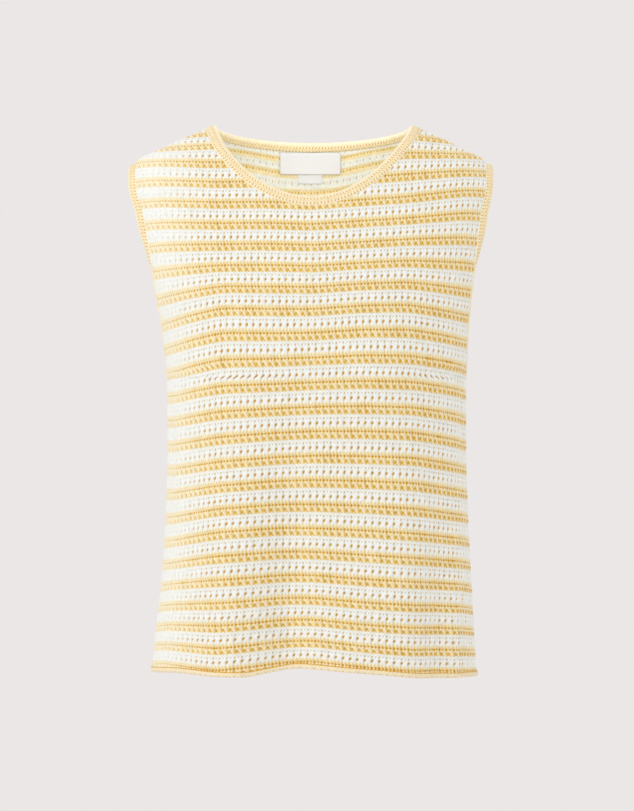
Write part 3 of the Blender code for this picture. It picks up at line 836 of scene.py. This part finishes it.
# The inner face's marks are painted shade in its gaps.
INNER_WHITE_MARKS = (
    (BEIGE, 1, 0.0, 0.48, 0.55, 2.1, 0.0, 0.9),
    (BEIGE, 1, 0.5, 0.40, 0.9, 0.5, 0.9, 0.7),
)
INNER_YELLOW_MARKS = (
    (GOLD, 1, 0.0, 0.50, 1.0, 1.0, 0.0, 0.9),
    (GOLD, 1, 0.5, 0.46, 0.4, 1.7, 0.0, 0.7),
    (AMBER, 2, 0.3, 0.16, 0.35, 1.2, 0.7, 0.5),
    (AMBER, 2, 0.3, 0.82, 0.35, 1.2, 0.7, 0.4),
)
BAND_HEIGHT = 11.9                      # of one yellow or white band of the knit
# The marks' painted shade grows faint towards the sides, most on the left, the side the key lamp lights.
# Columns: place where they begin to fade, place where they are faintest, what is left of them there in
# yellow and in white.
SIDE_FADES = ((-95.0, -165.0, 0.5, 0.12), (130.0, 215.0, 0.75, 0.75))
# The edges between yellow and white rise in small waves: how many in a motif, share of a band's height.
EDGE_WAVES, EDGE_RISE = 2, 0.05
# Painted shade in the gaps and slots of the neck and armhole bands: a motif is one grain, the place runs
# from the seam (0) to the free edge (1).
BAND_PAINTED_SHADE = (
    (GOLD, 1, 0.0, 0.04, 0.85, 0.8, 0.0, 1.0),
    (GOLD, 1, 0.1, 0.22, 0.55, 0.55, 0.0, 0.8),
    (GOLD, 1, 0.6, 0.36, 0.5, 0.5, 0.0, 0.7),
    (AMBER, 1, 0.1, 0.56, 0.6, 1.7, 0.3, 0.9),
    (AMBER, 1, 0.55, 0.80, 0.3, 0.9, 0.3, 0.3),
)
# Painted shade on the rolled hem, darkest along the groove: a motif is a wale, the place runs round the
# roll from the groove above it.
HEM_GIRTH = 18.0                        # millimetres round the roll
HEM_PAINTED_SHADE = (
    (GOLD, 1, 0.0, 0.11, 9.0, 1.6, 0.0, 0.85),
    (GOLD, 2, 0.0, 0.14, 0.9, 1.3, 0.3, 1.0),
    (AMBER, 1, 0.30, 0.24, 0.45, 1.5, 0.8, 0.35),
    (AMBER, 1, 0.80, 0.27, 0.45, 1.5, -0.8, 0.35),
    (AMBER, 1, 0.05, 0.41, 0.9, 0.9, 0.0, 0.6),
    (AMBER, 1, 0.55, 0.43, 0.6, 0.6, 0.0, 0.4),
)


def math_node(tree, operation, *values):
    """The result of one sum on sockets or numbers."""
    return add_node(tree, "ShaderNodeMath", {"operation": operation}, dict(enumerate(values))).outputs[0]


def mark_mask(tree, across, down, mark, motif, height):
    """1 in the middle of a mark that comes again in each motif, falling softly to 0 at its edge."""
    _, times, middle, level, half_width, half_height, lean, strength = mark
    y = math_node(tree, "MULTIPLY", math_node(tree, "SUBTRACT", down, level), height)
    along_row = math_node(tree, "MULTIPLY_ADD", across, times, 0.5 - middle * times)
    part = math_node(tree, "SUBTRACT", math_node(tree, "FRACT", along_row), 0.5)
    x = math_node(tree, "MULTIPLY_ADD", y, lean, math_node(tree, "MULTIPLY", part, motif / times))
    x = math_node(tree, "POWER", math_node(tree, "DIVIDE", x, half_width), 2.0)
    y = math_node(tree, "POWER", math_node(tree, "DIVIDE", y, half_height), 2.0)
    away = math_node(tree, "SQRT", math_node(tree, "ADD", x, y))
    mask = add_node(tree, "ShaderNodeMapRange", {"interpolation_type": "SMOOTHSTEP"},
                    {0: away, 1: MARK_CORE, 2: MARK_RIM, 3: strength, 4: 0.0})
    return mask.outputs[0]


def mix(tree, factor, first, second):
    """A colour between two, each a socket or an sRGB hex value."""
    node = add_node(tree, "ShaderNodeMix", {"data_type": "RGBA"}, {0: factor})
    for slot, value in ((6, first), (7, second)):
        if isinstance(value, str):
            node.inputs[slot].default_value = (*linear(value), 1.0)
        else:
            tree.links.new(value, node.inputs[slot])
    return node.outputs[2]


def yarn_painted_shade_and_highlight(tree, yarn, tones, marks, across, down, motif, height, fade):
    """Yarn from its gaps, in painted shade, to its top, in a painted highlight, with the marks laid over
    it.
    """
    colour = ramp(tree, yarn, tuple(zip(YARN_STOPS, tones)))
    for mark in marks:
        mask = mark_mask(tree, across, down, mark, motif, height)
        colour = mix(tree, math_node(tree, "MULTIPLY", mask, fade), colour, mark[0])
    return colour


# Noise in the cotton, in grains to a metre: its nap is 1.1 mm, coarser than real fibres so that it
# shows, and its mottling 3.3 mm, half a motif.
NAP_SCALE, MOTTLE_SCALE = 900.0, 300.0
NOISE_LOW, NOISE_HIGH = 0.3, 0.7        # where nearly all of the noise lies
DARKEST, BRIGHTEST = 0.93, 1.03         # what the mottling makes of a colour


def finish_knit(tree, shader, colour):
    """Cotton yarn: dry and matt, with a soft nap, fine fuzz and tones that wander a little."""
    place = add_node(tree, "ShaderNodeTexCoord").outputs["Object"]
    fuzz = add_node(tree, "ShaderNodeTexNoise",
                    inputs={"Vector": place, "Scale": NAP_SCALE, "Detail": 3.0})
    tone = add_node(tree, "ShaderNodeTexNoise",
                    inputs={"Vector": place, "Scale": MOTTLE_SCALE, "Detail": 2.0})
    shade = add_node(tree, "ShaderNodeMapRange",
                     inputs={0: tone.outputs[0], 1: NOISE_LOW, 2: NOISE_HIGH, 3: DARKEST, 4: BRIGHTEST})
    tinted = add_node(tree, "ShaderNodeVectorMath", {"operation": "SCALE"},
                      {0: colour, "Scale": shade.outputs[0]})
    bump = add_node(tree, "ShaderNodeBump", inputs={"Strength": 0.35, "Distance": 0.0004,
                                                    "Height": fuzz.outputs[0]})
    tree.links.new(tinted.outputs[0], shader.inputs["Base Color"])
    tree.links.new(bump.outputs[0], shader.inputs["Normal"])
    shader.inputs["Roughness"].default_value = 0.86
    shader.inputs["Specular IOR Level"].default_value = 0.3
    shader.inputs["Sheen Weight"].default_value = 0.15
    shader.inputs["Sheen Roughness"].default_value = 0.5


def knit_coordinates(tree):
    """A point's motif across, its band or place, and its yarn height."""
    attribute = add_node(tree, "ShaderNodeAttribute", {"attribute_name": "knit"})
    return add_node(tree, "ShaderNodeSeparateXYZ", inputs={0: attribute.outputs["Vector"]}).outputs


def striped_cotton(name, white_marks, yellow_marks):
    """Knitted cotton, yellow and white bands, with gold painted shade deep in the gaps between the
    stitches.
    """
    material, tree, shader = new_material(name)
    wale, band, yarn = knit_coordinates(tree)
    strokes = math_node(tree, "SINE", math_node(tree, "MULTIPLY", wale, 2 * math.pi * EDGE_WAVES))
    uneven = math_node(tree, "MULTIPLY_ADD", strokes, EDGE_RISE, band)
    pair = math_node(tree, "FRACT", math_node(tree, "MULTIPLY", uneven, 0.5))
    white = math_node(tree, "GREATER_THAN", pair, 0.5)
    down = math_node(tree, "SUBTRACT", 1.0, math_node(tree, "FRACT", band))
    faces = []
    for yarn_tones, marks, column in ((YELLOW_YARN, yellow_marks, 2), (WHITE_YARN, white_marks, 3)):
        # The marks' painted shade fades towards the sides.
        fade = 1.0
        for side in SIDE_FADES:
            part = add_node(tree, "ShaderNodeMapRange", {"interpolation_type": "SMOOTHSTEP"},
                            {0: wale, 1: side[0] / WALE, 2: side[1] / WALE, 3: 1.0, 4: side[column]})
            fade = math_node(tree, "MULTIPLY", part.outputs[0], fade)
        faces.append(yarn_painted_shade_and_highlight(tree, yarn, yarn_tones, marks, wale, down, WALE, BAND_HEIGHT, fade))
    finish_knit(tree, shader, mix(tree, white, *faces))
    return material


def pale_cotton(name, marks, motif, height):
    """Knitted cotton in the pale yellow of the bands and the rolled hem, with gold painted shade between
    its stitches.
    """
    material, tree, shader = new_material(name)
    across, place, yarn = knit_coordinates(tree)
    colour = yarn_painted_shade_and_highlight(tree, yarn, PALE_YARN, marks, across, place, motif, height, 1.0)
    finish_knit(tree, shader, colour)
    return material


RIB_SCALE = 700.0           # the wave's own scale, which makes one rib each 0.45 mm


def label_satin():
    """Woven polyester label: smooth and white, with a faint rib of its fine threads."""
    material, tree, shader = new_material("white_woven_label_satin")
    place = add_node(tree, "ShaderNodeTexCoord").outputs["Object"]
    threads = add_node(tree, "ShaderNodeTexWave", {"bands_direction": "Z"},
                       {"Vector": place, "Scale": RIB_SCALE, "Distortion": 0.4})
    bump = add_node(tree, "ShaderNodeBump", inputs={"Strength": 0.12, "Distance": 0.0002,
                                                    "Height": threads.outputs[0]})
    tree.links.new(bump.outputs[0], shader.inputs["Normal"])
    tree.links.new(ramp(tree, threads.outputs[0], ((0.0, "#EEF2F8"), (1.0, "#F5F8FE"))),
                   shader.inputs["Base Color"])
    shader.inputs["Roughness"].default_value = 0.55
    return material


# ---------------------------------------------------------------- studio

BACKDROP = "#EBE7E6"
CAMERA_DISTANCE, CAMERA_HEIGHT, LENS, SENSOR = 3.0, -0.2585, 133.17, 36.0
FLOOR_RADIUS, FLOOR_HEIGHT = 1.5, -1.1
# Lamps. Columns: name, place, what it is aimed at, size, power.
LAMPS = (
    ("key", (-3.1, -1.7, 0.5), (0.0, 0.0, -0.25), 1.0, 17.0),
    ("front", (-0.2, -2.4, 1.6), (0.0, 0.0, -0.2), 2.0, 13.5),
    ("back", (0.6, 2.6, 1.0), (0.0, 0.0, -0.25), 2.0, 14.0),
    ("neck", (-0.01, -0.05, -0.03), (0.0, 0.1, -0.05), 0.14, 0.074),
)


def studio():
    """A level camera straight in front, four soft lamps, a pale room and a pale floor."""
    scene = bpy.context.scene
    scene.view_settings.view_transform = "Standard"
    camera = bpy.data.objects.new("camera", bpy.data.cameras.new("camera"))
    scene.collection.objects.link(camera)
    camera.location = (0.0, -CAMERA_DISTANCE, CAMERA_HEIGHT)
    camera.rotation_euler = (math.pi / 2, 0.0, 0.0)
    camera.data.lens = LENS
    camera.data.sensor_width = SENSOR
    scene.camera = camera
    world = bpy.data.worlds.new("pale_room")
    world.use_nodes = True
    world.node_tree.nodes["Background"].inputs["Color"].default_value = (*linear(BACKDROP), 1.0)
    scene.world = world
    for name, place, target, size, power in LAMPS:
        lamp = bpy.data.lights.new(name, "AREA")
        lamp.size = size
        lamp.energy = power
        light = bpy.data.objects.new(name, lamp)
        scene.collection.objects.link(light)
        light.location = place
        aim = Vector(target) - Vector(place)
        light.rotation_euler = aim.to_track_quat("-Z", "Y").to_euler()
    bpy.ops.mesh.primitive_circle_add(vertices=96, radius=FLOOR_RADIUS, fill_type="NGON",
                                      location=(0, 0, FLOOR_HEIGHT))
    floor = bpy.context.object
    floor.name = "floor"
    # Painted board: even, matt and without a gloss of its own.
    material, _, shader = new_material("pale_floor")
    shader.inputs["Base Color"].default_value = (*linear(BACKDROP), 1.0)
    shader.inputs["Roughness"].default_value = 0.9
    floor.data.materials.append(material)


# ---------------------------------------------------------------- the garment


def main():
    """Build the studio, then the garment."""
    studio()
    striped = (
        striped_cotton("striped_cotton_eyelet_knit", WHITE_MARKS, YELLOW_MARKS),
        striped_cotton("striped_cotton_knit_reverse", INNER_WHITE_MARKS, INNER_YELLOW_MARKS),
    )
    rolled = pale_cotton("pale_cotton_rolled_hem", HEM_PAINTED_SHADE, WALE, HEM_GIRTH)
    pale = pale_cotton("pale_cotton_band_knit", BAND_PAINTED_SHADE, BAND_STITCH, NECK_BAND_WIDTH)
    satin = label_satin()
    for panel in DEPTH:
        panel_faces(panel, striped)
        hem_roll(panel, rolled)
    neck_band(pale)
    for side, hand in (("left", -1), ("right", 1)):
        armhole_band(side, hand, pale)
    for name in TAPES:
        tape_piece(name, satin)


main()
